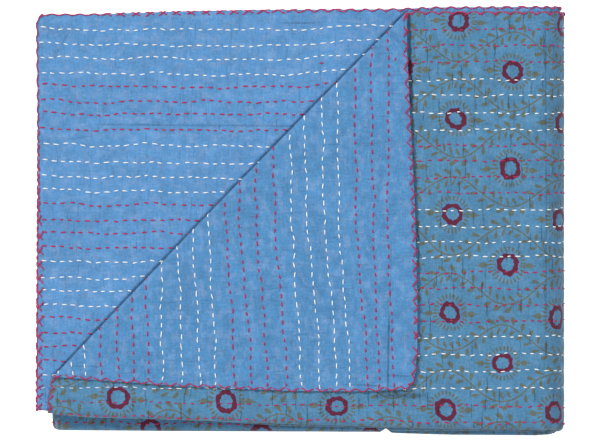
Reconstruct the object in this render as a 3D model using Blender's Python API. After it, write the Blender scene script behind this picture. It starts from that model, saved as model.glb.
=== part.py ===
"""A hand-quilted throw folded into a flat packet, with one corner turned back to show its plain side.

The throw is two cotton panels, one printed and one plain, that lie 0.3 mm apart. It is folded in
half four times and lies 16 layers thick. It is first drawn flat, with u along its length and v across
its width, both from the same corner, and h is a point's height over the throw's middle surface.
uneven_outline() gives the flat throw its hand-cut edges, and lay() carries a point of it through the
folds to where it rests.
"""

from math import hypot, pi

import bmesh
import bpy
import numpy as np

# The throw laid flat, in metres
LENGTH = 1.570
WIDTH = 1.232
PANEL = 0.0010
PANEL_GAP = 0.0003
LAYER_GAP = 0.0003
CORNER_CUT = 0.009  # how far from each corner its rounding starts
CORNER_FACETS = 3

# One layer of the folded throw, and the next, are this far apart
PITCH = 2 * PANEL + PANEL_GAP + LAYER_GAP
LAYERS = 16

# The folds, in the order they are made. Each bend starts at start, from the corner u = 0, v = 0.
# It takes so many layers under at once, so the half folds come before the quarter folds.
FOLDS = {
    # name: (runs across, start, layers, facets round the bend)
    "width_half": ("v", 0.612, 1, 4),
    "width_quarter": ("v", 0.300, 2, 4),
    "length_half": ("u", 0.77076, 4, 6),
    "length_quarter": ("u", 0.365, 8, 6),
}

# The crease of the turned-back corner meets the top edge and the left edge this far from the corner
CREASE_ALONG_TOP = 0.273
CREASE_DOWN_LEFT = 0.282
CREASE_RADIUS = PITCH / 2
CREASE_FACETS = 4
CREASE_BOW = 0.0016  # how far its middle bulges
CREASE_BOW_REACH = 0.050  # how far from the crease the cloth goes with it

# Lines across the folded packet where the cloth is free to change direction
CUTS_ALONG = (CORNER_CUT, 0.10, 0.19, 0.28)
CUTS_DOWN = (CORNER_CUT, 0.09, 0.18, 0.265)

# The hand-cut outline: how far each edge lies inside the straight line, in metres
LEFT_EDGE = (
    # place along the edge u = 0, from v = 0; set in
    (0.000, -0.0052),
    (0.036, -0.0064),
    (0.090, -0.0050),
    (0.180, 0.0013),
    (0.265, 0.0116),
    (0.300, 0.0084),
    (0.460, 0.0050),
    (0.612, 0.0015),
    (0.900, 0.0002),
    (1.080, 0.0012),
    (1.232, -0.0004),
)
RIGHT_EDGE = (
    # place along the edge u = LENGTH, from v = 0; set in
    (0.000, 0.0020),
    (0.300, -0.0008),
    (0.612, 0.0010),
    (0.900, -0.0010),
    (1.232, 0.0006),
)
TOP_EDGE = (
    # place along the edge v = 0, from u = 0; set in
    (0.000, 0.0050),
    (0.012, 0.0026),
    (0.030, 0.0005),
    (0.060, -0.0006),
    (0.134, -0.0011),
    (0.190, 0.0000),
    (0.243, 0.0008),
    (0.270, 0.0002),
    (0.770, 0.0010),
    (1.200, -0.0012),
    (1.570, 0.0008),
)
FAR_EDGE = (
    # place along the edge v = WIDTH, from u = 0; set in
    (0.000, 0.0016),
    (0.036, 0.0016),
    (0.070, 0.0020),
    (0.100, 0.0023),
    (0.150, 0.0026),
    (0.190, 0.0024),
    (0.260, 0.0018),
    (0.290, 0.0004),
    (0.365, 0.0000),
    (0.770, 0.0026),
    (1.200, 0.0014),
    (1.570, 0.0038),
)
EDGE_FADE = 0.240  # the cloth follows its edge's shape less and less over this distance

# The long folded edge at the front: how far each bundle of four layers reaches past the straight
# line, from the left end to the right end, top bundle first
FRONT_EDGE = (
    # place along, top bundle, second, third, bottom bundle
    (0.009, -0.0114, -0.0135, 0.0008, 0.0010),
    (0.035, -0.0088, -0.0110, 0.0010, 0.0013),
    (0.100, -0.0070, -0.0078, 0.0012, 0.0018),
    (0.180, -0.0041, -0.0024, 0.0014, 0.0022),
    (0.251, -0.0020, -0.0009, 0.0016, 0.0024),
    (0.255, -0.0019, -0.0008, -0.0004, -0.0002),
    (0.259, -0.0018, -0.0007, 0.0016, 0.0030),
    (0.268, -0.0015, -0.0006, 0.0016, 0.0036),
    (0.295, -0.0007, 0.0002, 0.0016, 0.0044),
    (0.365, 0.0000, 0.0006, 0.0018, 0.0050),
    (0.386, 0.0000, 0.0006, 0.0018, 0.0034),
)
BUNDLE = 4  # layers
FRONT_FADE = (0.262, 0.300)  # the front edge's shape grows in between these distances from the top

# Where one bundle's reach gives way to the next one's, in parts of a layer to either side
SLIP_AT_LEFT = 0.04
SLIP_AT_RIGHT = 0.50
SLIP_GROWS = (0.200, 0.320)  # between these places along the packet

# The folded edges at the back are drawn in at the left end, out of sight under the top layers
BACK_EDGE = (
    # place along, drawn in
    (0.000, 0.0040),
    (0.036, 0.0040),
    (0.070, 0.0026),
    (0.100, 0.0014),
    (0.150, 0.0004),
    (0.190, 0.0000),
)
BACK_FADE = 0.010  # the drawing in ends this far from the top edge

# The packet is this much thicker than its stacked layers, as parts of its height
PUFF_AT_RIGHT = 0.06
PUFF_IN_MIDDLE = 0.04

# The packet's middle, from its left and top edges, which becomes the origin
MIDDLE_ALONG = 0.19242
MIDDLE_DOWN = 0.15307

PANELS = (
    # node, lower and upper face from the throw's middle surface, colour
    ("printed_face_panel", PANEL_GAP / 2, PANEL_GAP / 2 + PANEL, (0.105, 0.300, 0.500, 1.0)),
    ("plain_back_panel", -PANEL_GAP / 2 - PANEL, -PANEL_GAP / 2, (0.105, 0.320, 0.620, 1.0)),
)
COTTON_ROUGHNESS = 0.92


def smooth_step(share):
    """0 up to share 0, 1 from share 1 on, and a soft S between."""
    share = np.clip(share, 0.0, 1.0)
    return share * share * (3.0 - 2.0 * share)


def read_table(place, table, column=1):
    """The table's value at each place, straight between its rows."""
    rows = np.array(table)
    return np.interp(place, rows[:, 0], rows[:, column])


def radius_of(layers):
    """The bend radius of the top layer when so many layers are folded under together."""
    return (layers - 0.5) * PITCH


def fold_under(place, z, start, layers):
    """Carries what lies past start round a level axis under the stack and back beneath it."""
    radius = radius_of(layers)
    past = place - start
    turn = np.clip(past / radius, 0.0, pi)
    reach = radius + z
    beyond = np.maximum(past - pi * radius, 0.0)
    return start + np.minimum(past, 0.0) + reach * np.sin(turn) - beyond, reach * np.cos(turn) - radius


def crease_frame():
    """Unit vectors along the corner's crease and square to it, towards the corner."""
    length = hypot(CREASE_ALONG_TOP, CREASE_DOWN_LEFT)
    along = np.array((-CREASE_ALONG_TOP, CREASE_DOWN_LEFT)) / length
    return along, np.array((-along[1], along[0])), length


def fold_corner(x, y, z):
    """Carries what lies past the crease up round a level axis and back over the top."""
    along, outward, length = crease_frame()
    dx, dy = x - CREASE_ALONG_TOP, y
    run = dx * along[0] + dy * along[1]
    past = dx * outward[0] + dy * outward[1]
    turn = np.clip(past / CREASE_RADIUS, 0.0, pi)
    reach = CREASE_RADIUS - z
    beyond = np.maximum(past - pi * CREASE_RADIUS, 0.0)
    place = np.minimum(past, 0.0) + reach * np.sin(turn) - beyond
    bow = CREASE_BOW * np.sin(pi * np.clip(run / length, 0.0, 1.0))
    place = place + bow * np.exp(-((place / CREASE_BOW_REACH) ** 2))
    x = CREASE_ALONG_TOP + run * along[0] + place * outward[0]
    y = run * along[1] + place * outward[1]
    return x, y, CREASE_RADIUS - reach * np.cos(turn)


def uneven_outline(u, v):
    """Moves the flat cloth to its hand-cut outline, most at the edges."""
    left = read_table(v, LEFT_EDGE) * smooth_step(1.0 - u / EDGE_FADE)
    right = read_table(v, RIGHT_EDGE) * smooth_step(1.0 - (LENGTH - u) / EDGE_FADE)
    top = read_table(u, TOP_EDGE) * smooth_step(1.0 - v / EDGE_FADE)
    far = read_table(u, FAR_EDGE) * smooth_step(1.0 - (WIDTH - v) / EDGE_FADE)
    return u + left - right, v + top - far


def front_reach(x, z):
    """How far the front edge stands out at x, for the cloth at height z.

    Each bundle of layers keeps its own reach. It gives way to the next bundle's over the part of a
    layer that slip gives, which is next to nothing at the left, where the bundles end.
    """
    near, far = SLIP_GROWS
    slip = SLIP_AT_LEFT + (SLIP_AT_RIGHT - SLIP_AT_LEFT) * smooth_step((x - near) / (far - near))
    reach = read_table(x, FRONT_EDGE, 1)
    for bundle in range(1, LAYERS // BUNDLE):
        share = np.clip((-z / PITCH - bundle * BUNDLE + 0.5) / (2 * slip) + 0.5, 0.0, 1.0)
        step = read_table(x, FRONT_EDGE, bundle + 1) - read_table(x, FRONT_EDGE, bundle)
        reach = reach + share * step
    return reach


def lay(x, y, z):
    """Where the point of the flat, hand-cut throw at (x, y) and height z lies in the folded packet."""
    top_layer = (x < FOLDS["length_quarter"][1]) & (y < FOLDS["width_quarter"][1])
    for across, start, layers, _ in FOLDS.values():
        if across == "u":
            x, z = fold_under(x, z, start, layers)
        else:
            y, z = fold_under(y, z, start, layers)
    corner = fold_corner(x, y, z)
    x, y, z = (np.where(top_layer, turned, flat) for turned, flat in zip(corner, (x, y, z)))
    near, far = FRONT_FADE
    y = y + front_reach(x, z) * smooth_step((y - near) / (far - near))
    y = y + read_table(x, BACK_EDGE) * (1.0 - smooth_step(y / BACK_FADE))
    height = z + (LAYERS - 1) * PITCH + PANEL + PANEL_GAP / 2
    end = FOLDS["length_quarter"][1]
    puff = PUFF_AT_RIGHT * smooth_step(x / end)
    puff = puff + PUFF_IN_MIDDLE * smooth_step(y / MIDDLE_DOWN) * smooth_step(2.0 - y / MIDDLE_DOWN)
    return np.stack((x - MIDDLE_ALONG, MIDDLE_DOWN - y, height * (1.0 + puff)), axis=-1)


def lines_across(half, quarter, cuts, whole):
    """Where the cloth may bend along one direction: the cuts in every layer and each bend's facets."""
    _, half_start, half_layers, half_facets = FOLDS[half]
    _, quarter_start, quarter_layers, quarter_facets = FOLDS[quarter]
    half_turn = pi * radius_of(half_layers)
    quarter_turn = pi * radius_of(quarter_layers)
    near = list(cuts)
    near += [quarter_start + quarter_turn * i / quarter_facets for i in range(quarter_facets + 1)]
    near += [2 * quarter_start + quarter_turn - cut for cut in cuts]
    near = [place for place in near if place < half_start - CORNER_CUT]
    far = [2 * half_start + half_turn - place for place in near]
    bend = [half_start + half_turn * i / half_facets for i in range(half_facets + 1)]
    return sorted([0.0, *near, *bend, *far, whole])


def corner_points(inner, outer):
    """Points round a quarter of an ellipse, between the two ends that the grid already has."""
    turns = [pi / 2 * i / CORNER_FACETS for i in range(1, CORNER_FACETS)]
    span = np.subtract(outer, inner)
    return [(inner[0] + span[0] * np.cos(t), inner[1] + span[1] * np.sin(t)) for t in turns]


def add_point(pattern, u, v):
    """A point of the flat pattern, moved to the hand-cut outline. Its y runs away from v = 0."""
    x, y = uneven_outline(u, v)
    return pattern.verts.new((x, -y, 0.0))


def add_corner(pattern, grid, us, vs, at_far_u, at_far_v):
    """One rounded corner cell as a single face, counter-clockwise seen from the printed side."""
    i, j = (len(us) - 1, len(us) - 2) if at_far_u else (0, 1)
    k, m = (len(vs) - 1, len(vs) - 2) if at_far_v else (0, 1)
    arc = [add_point(pattern, u, v) for u, v in corner_points((us[j], vs[m]), (us[i], vs[k]))]
    face = [grid[j][m], grid[i][m], *arc, grid[j][k]]
    turned = at_far_u == at_far_v
    pattern.faces.new(face[::-1] if turned else face)


def flat_pattern():
    """The flat throw as one sheet of triangles: its (x, y) points, faces and directed rim edges."""
    us = lines_across("length_half", "length_quarter", CUTS_ALONG, LENGTH)
    vs = lines_across("width_half", "width_quarter", CUTS_DOWN, WIDTH)
    pattern = bmesh.new()
    last_u, last_v = len(us) - 1, len(vs) - 1
    corners = {(i, k) for i in (0, last_u) for k in (0, last_v)}
    grid = [
        [None if (i, k) in corners else add_point(pattern, u, v) for k, v in enumerate(vs)]
        for i, u in enumerate(us)
    ]
    for i in range(last_u):
        for k in range(last_v):
            cell = [grid[i][k + 1], grid[i + 1][k + 1], grid[i + 1][k], grid[i][k]]
            if None not in cell:
                pattern.faces.new(cell)
    for at_far_u in (False, True):
        for at_far_v in (False, True):
            add_corner(pattern, grid, us, vs, at_far_u, at_far_v)
    cut_crease(pattern)
    bmesh.ops.triangulate(pattern, faces=pattern.faces[:])
    pattern.verts.index_update()
    points = np.array([(vert.co.x, -vert.co.y) for vert in pattern.verts])
    faces = [[vert.index for vert in face.verts] for face in pattern.faces]
    rim = [
        (edge.link_loops[0].vert.index, edge.link_loops[0].link_loop_next.vert.index)
        for edge in pattern.edges
        if edge.is_boundary
    ]
    pattern.free()
    return points, faces, rim


def cut_crease(pattern):
    """Cuts the top layer's quarter along the facets of the turned-back corner's bend."""
    _, outward, _ = crease_frame()
    turn = pi * CREASE_RADIUS
    limit_u = FOLDS["length_quarter"][1]
    limit_v = FOLDS["width_quarter"][1]
    for step in range(CREASE_FACETS + 1):
        offset = turn * step / CREASE_FACETS
        quarter = [
            face
            for face in pattern.faces
            if face.calc_center_median().x < limit_u and -face.calc_center_median().y < limit_v
        ]
        parts = {part for face in quarter for part in (*face.verts, *face.edges)}
        place = (CREASE_ALONG_TOP + outward[0] * offset, -outward[1] * offset, 0.0)
        bmesh.ops.bisect_plane(
            pattern,
            geom=[*quarter, *parts],
            dist=1e-6,
            plane_co=place,
            plane_no=(outward[0], -outward[1], 0.0),
        )


def cotton(name, colour):
    """A matt cotton of one colour."""
    material = bpy.data.materials.new(name)
    material.use_nodes = True
    surface = material.node_tree.nodes["Principled BSDF"]
    surface.inputs["Base Color"].default_value = colour
    surface.inputs["Roughness"].default_value = COTTON_ROUGHNESS
    surface.inputs["Metallic"].default_value = 0.0
    return material


def make_panel(name, low, high, colour, pattern):
    """One panel as a closed solid: its two faces, and a rim that joins them round the outline."""
    points, faces, rim = pattern
    x, y = points.T
    count = len(points)
    laid = np.concatenate((lay(x, y, np.full(count, high)), lay(x, y, np.full(count, low))))
    upper = [tuple(face) for face in faces]
    lower = [tuple(corner + count for corner in reversed(face)) for face in faces]
    side = [(end, start, start + count, end + count) for start, end in rim]
    mesh = bpy.data.meshes.new(name)
    mesh.from_pydata(laid.tolist(), [], upper + lower + side)
    mesh.materials.append(cotton(name, colour))
    bpy.context.scene.collection.objects.link(bpy.data.objects.new(name, mesh))


for leftover in list(bpy.data.objects):
    bpy.data.objects.remove(leftover)
sheet = flat_pattern()
for node, low_face, high_face, shade in PANELS:
    make_panel(node, low_face, high_face, shade, sheet)
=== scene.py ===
"""The looks of a hand-quilted cotton throw, folded into a flat packet with one corner turned back.

Every piece is first worked out on the throw as it lies flat, in metres: x along its length and y
across its width, both from the same corner, and h the height over its middle. lay() then carries
it through the folds, so cloth, quilting and edge stitching all follow the same bends.
"""

from math import hypot, pi, radians

import bmesh
import bpy
import numpy as np
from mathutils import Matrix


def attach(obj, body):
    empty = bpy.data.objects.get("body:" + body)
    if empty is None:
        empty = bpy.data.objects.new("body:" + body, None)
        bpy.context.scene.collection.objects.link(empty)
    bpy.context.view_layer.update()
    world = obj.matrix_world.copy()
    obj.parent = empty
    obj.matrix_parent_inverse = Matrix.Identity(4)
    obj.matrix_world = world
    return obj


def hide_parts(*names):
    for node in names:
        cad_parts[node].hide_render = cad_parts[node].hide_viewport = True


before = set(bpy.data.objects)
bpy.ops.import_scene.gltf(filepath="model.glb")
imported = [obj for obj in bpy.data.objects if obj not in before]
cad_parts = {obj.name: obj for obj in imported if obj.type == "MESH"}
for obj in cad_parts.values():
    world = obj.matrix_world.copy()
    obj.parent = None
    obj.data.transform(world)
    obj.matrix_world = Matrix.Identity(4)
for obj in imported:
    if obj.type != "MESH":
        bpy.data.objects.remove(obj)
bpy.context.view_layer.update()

# Printed face panel. One length of cotton muslin, block printed with maroon flower rings between
# olive vines. Its edges are turned in and its rows of quilting draw it down to the plain panel.

LENGTH = 1.570
WIDTH = 1.232
LAYERS = 16
PITCH = 0.0026  # from one layer of the folded throw to the next
OUTER_FACE = 0.00115  # the cloth's outermost height over the throw's middle
CLOTH = 0.00045  # one panel's own thickness
PANEL_CLEAR = 0.00012  # each panel's inner face stays this far from the throw's middle
SKIN_AT_ROW = 0.00060  # the outer face's height where a row of quilting draws it down
SKIN_BETWEEN = 0.00104  # and half way between two rows
SKIN_AT_EDGE = 0.00052  # and at the turned-in edge
SKIN_IN_CREASE = 0.00034  # and at the least in a crease
ROW_DRAW = 0.0026  # how far from a row the cloth is drawn down
LUMPS_TAKE = 0.22  # of the height that a row draws down
EDGE_ROLL = 0.0045  # how far from the edge it is
CORNER_ROUND = 0.0075

FOLDS = {
    # name: (runs across, start, layers taken under at once)
    "width_half": ("v", 0.612, 1),
    "width_quarter": ("v", 0.300, 2),
    "length_half": ("u", 0.77076, 4),
    "length_quarter": ("u", 0.365, 8),
}

# The crease of the turned-back corner
CREASE_ALONG_TOP = 0.273
CREASE_DOWN_LEFT = 0.282
CREASE_RADIUS = PITCH / 2
CREASE_BOW = 0.0016
CREASE_BOW_REACH = 0.050

LEFT_EDGE = (
    # place along the left edge; how far the cut lies inside the straight line
    (0.000, -0.0052),
    (0.036, -0.0064),
    (0.090, -0.0050),
    (0.180, 0.0013),
    (0.265, 0.0116),
    (0.300, 0.0084),
    (0.460, 0.0050),
    (0.612, 0.0015),
    (0.900, 0.0002),
    (1.080, 0.0012),
    (1.232, -0.0004),
)
RIGHT_EDGE = (
    # place along the right edge; set in
    (0.000, 0.0020),
    (0.300, -0.0008),
    (0.612, 0.0010),
    (0.900, -0.0010),
    (1.232, 0.0006),
)
TOP_EDGE = (
    # place along the top edge; set in
    (0.000, 0.0050),
    (0.012, 0.0026),
    (0.030, 0.0005),
    (0.060, -0.0006),
    (0.134, -0.0011),
    (0.190, 0.0000),
    (0.243, 0.0008),
    (0.270, 0.0002),
    (0.770, 0.0010),
    (1.200, -0.0012),
    (1.570, 0.0008),
)
FAR_EDGE = (
    # place along the far edge; set in
    (0.000, 0.0016),
    (0.036, 0.0016),
    (0.070, 0.0020),
    (0.100, 0.0023),
    (0.150, 0.0026),
    (0.190, 0.0024),
    (0.260, 0.0018),
    (0.290, 0.0004),
    (0.365, 0.0000),
    (0.770, 0.0026),
    (1.200, 0.0014),
    (1.570, 0.0038),
)
EDGE_FADE = 0.240

FRONT_EDGE = (
    # place along the front fold; how far the top, second, third and bottom bundle reach out
    (0.009, -0.0114, -0.0135, 0.0008, 0.0010),
    (0.035, -0.0088, -0.0110, 0.0010, 0.0013),
    (0.100, -0.0070, -0.0078, 0.0012, 0.0018),
    (0.180, -0.0041, -0.0024, 0.0014, 0.0022),
    (0.251, -0.0020, -0.0009, 0.0016, 0.0024),
    (0.255, -0.0019, -0.0008, -0.0004, -0.0002),
    (0.259, -0.0018, -0.0007, 0.0016, 0.0030),
    (0.268, -0.0015, -0.0006, 0.0016, 0.0036),
    (0.295, -0.0007, 0.0002, 0.0016, 0.0044),
    (0.365, 0.0000, 0.0006, 0.0018, 0.0050),
    (0.386, 0.0000, 0.0006, 0.0018, 0.0034),
)
BUNDLE = 4  # layers
BACK_EDGE = (
    # place along the back folds; how far they are drawn in
    (0.000, 0.0040),
    (0.036, 0.0040),
    (0.070, 0.0026),
    (0.100, 0.0014),
    (0.150, 0.0004),
    (0.190, 0.0000),
)
BACK_FADE = 0.010  # this fades away so far from the top edge
FRONT_FADE = (0.262, 0.300)
SLIP_AT_LEFT = 0.04  # parts of a layer, to either side of the line between two bundles
SLIP_AT_RIGHT = 0.50
SLIP_GROWS = (0.200, 0.320)  # between these places along the packet
PUFF_AT_RIGHT = 0.06
PUFF_IN_MIDDLE = 0.04
MIDDLE_ALONG = 0.19242  # the packet's middle, from its left edge
MIDDLE_DOWN = 0.15307  # and from its top edge

# Rows of quilting on the top layer: the distance from the top edge at three places along it
TOP_ROW_PLACES = (0.030, 0.113, 0.300)
TOP_ROWS = (
    (0.0190, 0.0193, 0.0124),
    (0.0292, 0.0302, 0.0248),
    (0.0376, 0.0426, 0.0365),
    (0.0502, 0.0550, 0.0496),
    (0.0602, 0.0653, 0.0606),
    (0.0721, 0.0777, 0.0737),
    (0.0860, 0.0886, 0.0861),
    (0.0974, 0.1007, 0.0971),
    (0.1112, 0.1142, 0.1080),
    (0.1226, 0.1262, 0.1201),
    (0.1343, 0.1368, 0.1318),
    (0.1484, 0.1485, 0.1442),
    (0.1599, 0.1602, 0.1562),
    (0.1723, 0.1718, 0.1677),
    (0.1864, 0.1828, 0.1785),
    (0.1968, 0.1948, 0.1898),
    (0.2073, 0.2054, 0.2015),
    (0.2190, 0.2164, 0.2136),
    (0.2314, 0.2295, 0.2254),
    (0.2431, 0.2409, 0.2371),
    (0.2526, 0.2519, 0.2500),
    (0.2635, 0.2632, 0.2621),
    (0.2745, 0.2745, 0.2745),
    (0.2844, 0.2858, 0.2876),
    (0.2945, 0.2960, 0.2995),
)
# Rows on the second layer, whose plain side is up: the distance from the far edge's line
SECOND_ROWS = (
    0.0124, 0.0238, 0.0336, 0.0449, 0.0540, 0.0650, 0.0741, 0.0858,
    0.0971, 0.1095, 0.1205, 0.1307, 0.1402, 0.1518, 0.1613, 0.1723,
    0.1825, 0.1942, 0.2037, 0.2143, 0.2234, 0.2343, 0.2450, 0.2552,
    0.2655, 0.2755, 0.2860, 0.2965,
)
ROW_STEP = 0.0120  # between the rows that no table places
ROWS_IN_GROUP = 4  # rows in one thread before the other, counted from either edge
FIRST_GROUP_LACKS = 1  # the group at the top edge is this many rows short
ROW_WANDER = (
    # how far a row strays, over what length
    (0.00050, 0.058),
    (0.00028, 0.027),
    (0.00040, 0.190),
)
SECOND_DRIFT = (
    # place along the packet, how far all the second layer's rows run lower there
    (0.003, -0.0013),
    (0.024, -0.0006),
    (0.045, 0.0011),
    (0.083, -0.0004),
    (0.105, 0.0008),
    (0.192, 0.0004),
    (0.217, -0.0018),
    (0.245, -0.0034),
    (0.300, 0.0000),
)
SECOND_REACH = 0.31  # the drift ends so far from the far edge
SLANT_FADES = 0.2  # over this length past there, the front fold's slant is taken out of the rows

# Creases in the cloth, troughs that are also darkened as painted shade, by where they lie in the packet,
# from its top left corner
CREASES = (
    # sheet, one end's place along and down, the other end's, depth, half width
    ("second", 0.0460, 0.0822, 0.1920, 0.0835, 0.00035, 0.0006),
    ("second", 0.1790, 0.0082, 0.2050, 0.0080, 0.00035, 0.0006),
    ("flap", 0.2570, 0.2285, 0.2562, 0.2745, 0.00060, 0.0006),
    ("flap", 0.2613, 0.2655, 0.2723, 0.2660, 0.00040, 0.0006),
    ("flap", 0.2248, 0.2724, 0.2467, 0.2735, 0.00040, 0.0006),
    ("flap", 0.0248, 0.2588, 0.0453, 0.2594, 0.00030, 0.0006),
    ("flap", 0.2588, 0.1700, 0.2572, 0.2285, 0.00025, 0.0006),
    ("second", 0.0150, 0.0300, 0.0230, 0.0150, 0.00025, 0.0006),
    ("second", 0.0240, 0.0930, 0.0420, 0.0905, 0.00020, 0.0006),
    # The next four lie beside the turned-back corner's right edge and under its bottom edge: real troughs
    # whose darkening paints the corner's shadow
    ("print", 0.2717, 0.0080, 0.2729, 0.0640, 0.00070, 0.0016),
    ("print", 0.2729, 0.0640, 0.2765, 0.1700, 0.00030, 0.0012),
    ("print", 0.2750, 0.0180, 0.2757, 0.0310, 0.00030, 0.0006),
    ("print", 0.2550, 0.2812, 0.2790, 0.2808, 0.00056, 0.0022),
    ("print", 0.3712, 0.0140, 0.3718, 0.0900, 0.00040, 0.0007),
    ("print", 0.3720, 0.1300, 0.3716, 0.2500, 0.00032, 0.0006),
    ("print", 0.3197, 0.0642, 0.3203, 0.0934, 0.00030, 0.0006),
    ("print", 0.3489, 0.0642, 0.3484, 0.0825, 0.00028, 0.0006),
    ("print", 0.3252, 0.1380, 0.3264, 0.1560, 0.00034, 0.0006),
    ("print", 0.3270, 0.1910, 0.3276, 0.2025, 0.00030, 0.0006),
    ("print", 0.2790, 0.2700, 0.2796, 0.2860, 0.00030, 0.0006),
)
# Creases and the fold mark are painted darker as shade by their depth, fully at this depth
FULL_SHADE_DEPTH = 0.00060
FOLD_MARK = 0.00062  # how deep the corner's fold presses into the layer under it
FOLD_MARK_HALF = 0.0007
FOLD_MARK_OUT = 0.0001  # its deepest line runs this far outside the fold
FOLD_MARK_ENDS = (0.009, 0.016)  # it grows in between these places from the left


def smooth_step(share):
    """0 up to share 0, 1 from share 1 on, and a soft S between."""
    share = np.clip(share, 0.0, 1.0)
    return share * share * (3.0 - 2.0 * share)


def read_table(place, table, column=1):
    """The table's value at each place, straight between its rows."""
    rows = np.array(table)
    return np.interp(place, rows[:, 0], rows[:, column])


def radius_of(layers):
    """The bend radius of the top layer when so many layers are folded under together."""
    return (layers - 0.5) * PITCH


def fold_under(place, z, start, layers):
    """Carries what lies past start round a level axis under the stack and back beneath it."""
    radius = radius_of(layers)
    past = place - start
    turn = np.clip(past / radius, 0.0, pi)
    reach = radius + z
    beyond = np.maximum(past - pi * radius, 0.0)
    return start + np.minimum(past, 0.0) + reach * np.sin(turn) - beyond, reach * np.cos(turn) - radius


def crease_frame():
    """Unit vectors along the corner's crease and square to it, towards the corner, and its length."""
    length = hypot(CREASE_ALONG_TOP, CREASE_DOWN_LEFT)
    along = np.array((-CREASE_ALONG_TOP, CREASE_DOWN_LEFT)) / length
    return along, np.array((-along[1], along[0])), length


def along_crease(x, y):
    """How far a flat point of the top layer lies along the crease and past it, towards the corner."""
    along, outward, _ = crease_frame()
    run = (x - CREASE_ALONG_TOP) * along[0] + y * along[1]
    return run, (x - CREASE_ALONG_TOP) * outward[0] + y * outward[1]


def past_crease(x, y):
    """How far a flat point of the top layer lies past the crease."""
    return along_crease(x, y)[1]


def crease_bow(run):
    """How far the crease bows out of its straight line so far along it: half a sine wave."""
    _, _, length = crease_frame()
    return CREASE_BOW * np.sin(pi * np.clip(run / length, 0.0, 1.0))


def beside_crease(run, past):
    """The flat point so far along the crease and so far past it."""
    along, outward, _ = crease_frame()
    x = CREASE_ALONG_TOP + run * along[0] + past * outward[0]
    return x, run * along[1] + past * outward[1]


def fold_corner(x, y, z):
    """Carries what lies past the crease up round a level axis and back over the top."""
    run, past = along_crease(x, y)
    turn = np.clip(past / CREASE_RADIUS, 0.0, pi)
    reach = CREASE_RADIUS - z
    beyond = np.maximum(past - pi * CREASE_RADIUS, 0.0)
    place = np.minimum(past, 0.0) + reach * np.sin(turn) - beyond
    place = place + crease_bow(run) * np.exp(-((place / CREASE_BOW_REACH) ** 2))
    return *beside_crease(run, place), CREASE_RADIUS - reach * np.cos(turn)


def round_corners(u, v):
    """Draws each square corner in to a quarter circle: p times max(|p|) / |p|, p from its centre."""
    for at_right in (False, True):
        for at_far in (False, True):
            p = 1.0 - (LENGTH - u if at_right else u) / CORNER_ROUND
            q = 1.0 - (WIDTH - v if at_far else v) / CORNER_ROUND
            within = (p > 0.0) & (q > 0.0)
            shrink = np.where(within, np.maximum(p, q) / np.hypot(p, np.where(within, q, 1.0)), 1.0)
            across = (1.0 - p * shrink) * CORNER_ROUND
            down = (1.0 - q * shrink) * CORNER_ROUND
            u = np.where(within, LENGTH - across if at_right else across, u)
            v = np.where(within, WIDTH - down if at_far else down, v)
    return u, v


def hand_cut(u, v):
    """Moves the straight-edged flat cloth to its hand-cut outline, most at the edges."""
    u, v = round_corners(u, v)
    left = read_table(v, LEFT_EDGE) * smooth_step(1.0 - u / EDGE_FADE)
    right = read_table(v, RIGHT_EDGE) * smooth_step(1.0 - (LENGTH - u) / EDGE_FADE)
    top = read_table(u, TOP_EDGE) * smooth_step(1.0 - v / EDGE_FADE)
    far = read_table(u, FAR_EDGE) * smooth_step(1.0 - (WIDTH - v) / EDGE_FADE)
    return u + left - right, v + top - far


def front_reach(x, z):
    """How far the front edge stands out at x.

    Each bundle of layers keeps its own reach. From one bundle to the next it changes over the part
    of a layer that slip gives to either side, next to nothing at the left, where the bundles end.
    """
    near, far = SLIP_GROWS
    slip = SLIP_AT_LEFT + (SLIP_AT_RIGHT - SLIP_AT_LEFT) * smooth_step((x - near) / (far - near))
    reach = read_table(x, FRONT_EDGE, 1)
    for bundle in range(1, LAYERS // BUNDLE):
        share = np.clip((-z / PITCH - bundle * BUNDLE + 0.5) / (2 * slip) + 0.5, 0.0, 1.0)
        step = read_table(x, FRONT_EDGE, bundle + 1) - read_table(x, FRONT_EDGE, bundle)
        reach = reach + share * step
    return reach


def fold_all(x, y, h):
    """Carries a flat point through the four folds and the turned-back corner."""
    z = h
    top_layer = (x < FOLDS["length_quarter"][1]) & (y < FOLDS["width_quarter"][1])
    for across, start, layers in FOLDS.values():
        if across == "u":
            x, z = fold_under(x, z, start, layers)
        else:
            y, z = fold_under(y, z, start, layers)
    corner = fold_corner(x, y, z)
    return (np.where(top_layer, turned, flat) for turned, flat in zip(corner, (x, y, z)))


def lay(x, y, h):
    """Where the point of the flat, hand-cut throw at (x, y) and height h lies in the packet.

    Thread that stands proud of its cloth is drawn to and fro with that cloth.
    """
    cloth_x, _, cloth_z = fold_all(x, y, np.clip(h, -SKIN_BETWEEN, SKIN_BETWEEN))
    x, y, z = fold_all(x, y, h)
    near, far = FRONT_FADE
    y = y + front_reach(cloth_x, cloth_z) * smooth_step((y - near) / (far - near))
    y = y + read_table(x, BACK_EDGE) * (1.0 - smooth_step(y / BACK_FADE))
    height = z + (LAYERS - 1) * PITCH + OUTER_FACE
    end = FOLDS["length_quarter"][1]
    puff = PUFF_AT_RIGHT * smooth_step(x / end)
    puff = puff + PUFF_IN_MIDDLE * smooth_step(y / MIDDLE_DOWN) * smooth_step(2.0 - y / MIDDLE_DOWN)
    return np.stack((x - MIDDLE_ALONG, MIDDLE_DOWN - y, height * (1.0 + puff)), axis=-1)


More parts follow.
